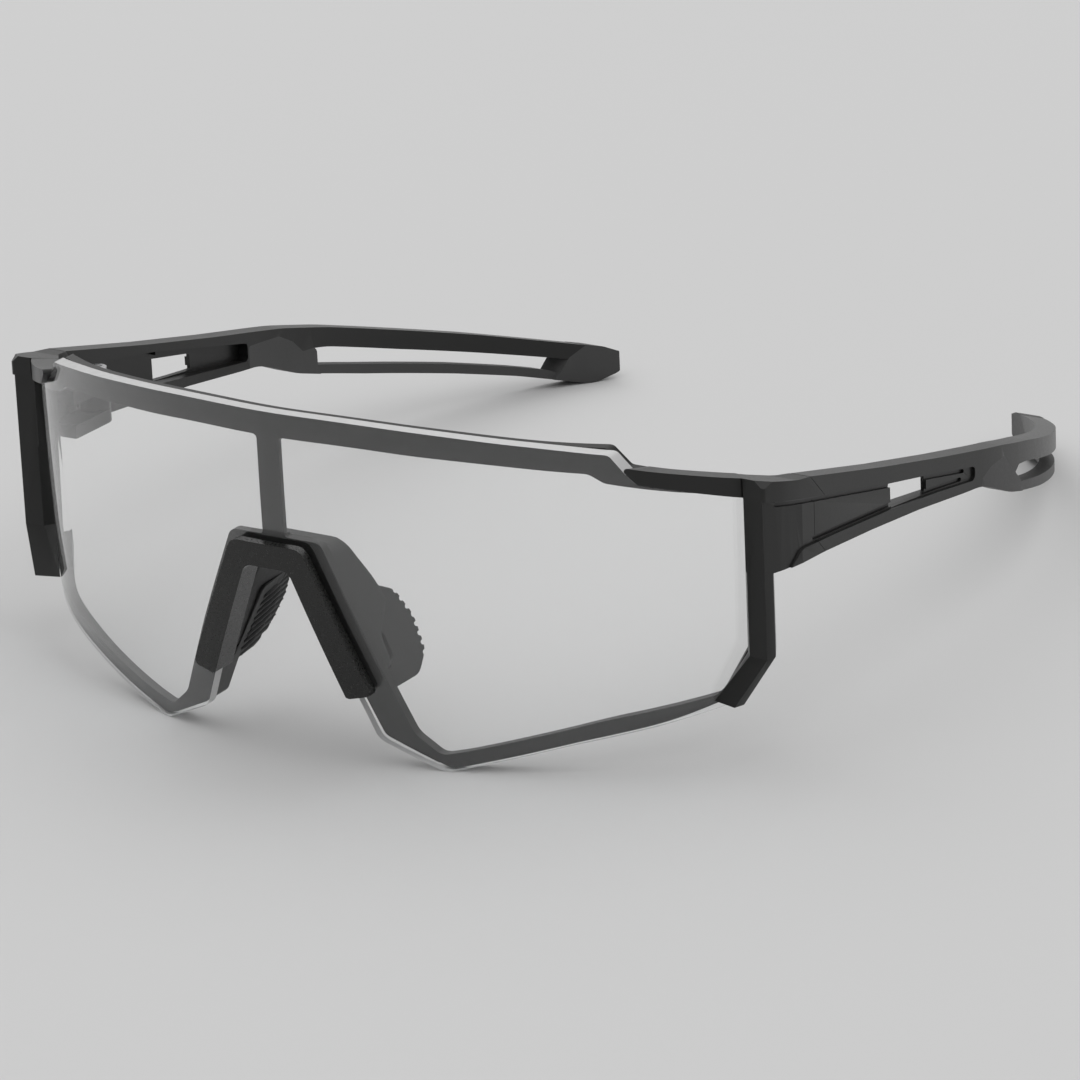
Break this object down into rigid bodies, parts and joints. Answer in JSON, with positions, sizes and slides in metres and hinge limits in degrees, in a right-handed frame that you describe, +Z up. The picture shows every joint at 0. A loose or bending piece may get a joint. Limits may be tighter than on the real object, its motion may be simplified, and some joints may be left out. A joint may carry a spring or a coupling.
{
  "type": "wraparound sport sunglasses",
  "caption": "Wraparound sport sunglasses: one clear shield lens on a half-open black frame, clip-on nose bridge with ribbed pads, folding split temples with soft ear tips.",
  "frame": {"origin": "centre of the overall box at the table the glasses rest on", "axes": "+X to the wearer's left, -Y the way the wearer looks, +Z up; temples open, resting on the lens corners and the ear tips"},
  "size_m": [0.146, 0.174, 0.0586],
  "materials": {
    "frame_nylon": "satin moulded nylon",
    "lens": "clear hard-coated polycarbonate",
    "nose_rubber": "matt ribbed silicone rubber",
    "rubber_sock": "matt soft-touch rubber",
    "nose_wire": "plain soft wire",
    "steel": "plain turned steel",
    "brass": "turned brass"
  },
  "bodies": {
    "front": {"front_frame": "frame_nylon", "shield_lens": "lens", "nose_bridge_clip": "frame_nylon", "nose_saddle": "nose_rubber", "nose_wire": "nose_wire", "left_nose_pad": "nose_rubber", "left_hinge_screw": "steel", "left_hinge_washer": "steel", "left_hinge_insert": "brass", "right_nose_pad": "nose_rubber", "right_hinge_screw": "steel", "right_hinge_washer": "steel", "right_hinge_insert": "brass"},
    "left_temple": {"left_temple_arm": "frame_nylon", "left_ear_sock": "rubber_sock"},
    "right_temple": {"right_temple_arm": "frame_nylon", "right_ear_sock": "rubber_sock"}
  },
  "joints": [
    {"name": "left_temple_fold", "type": "hinge", "parent": "front", "child": "left_temple", "pos_m": [0.0672, -0.0365, 0.03333], "axis": [0, 0.0138, 0.9999], "range_deg": [0, 84]},
    {"name": "right_temple_fold", "type": "hinge", "parent": "front", "child": "right_temple", "pos_m": [-0.0672, -0.0365, 0.03333], "axis": [0, -0.0138, -0.9999], "range_deg": [0, 79]}
  ]
}
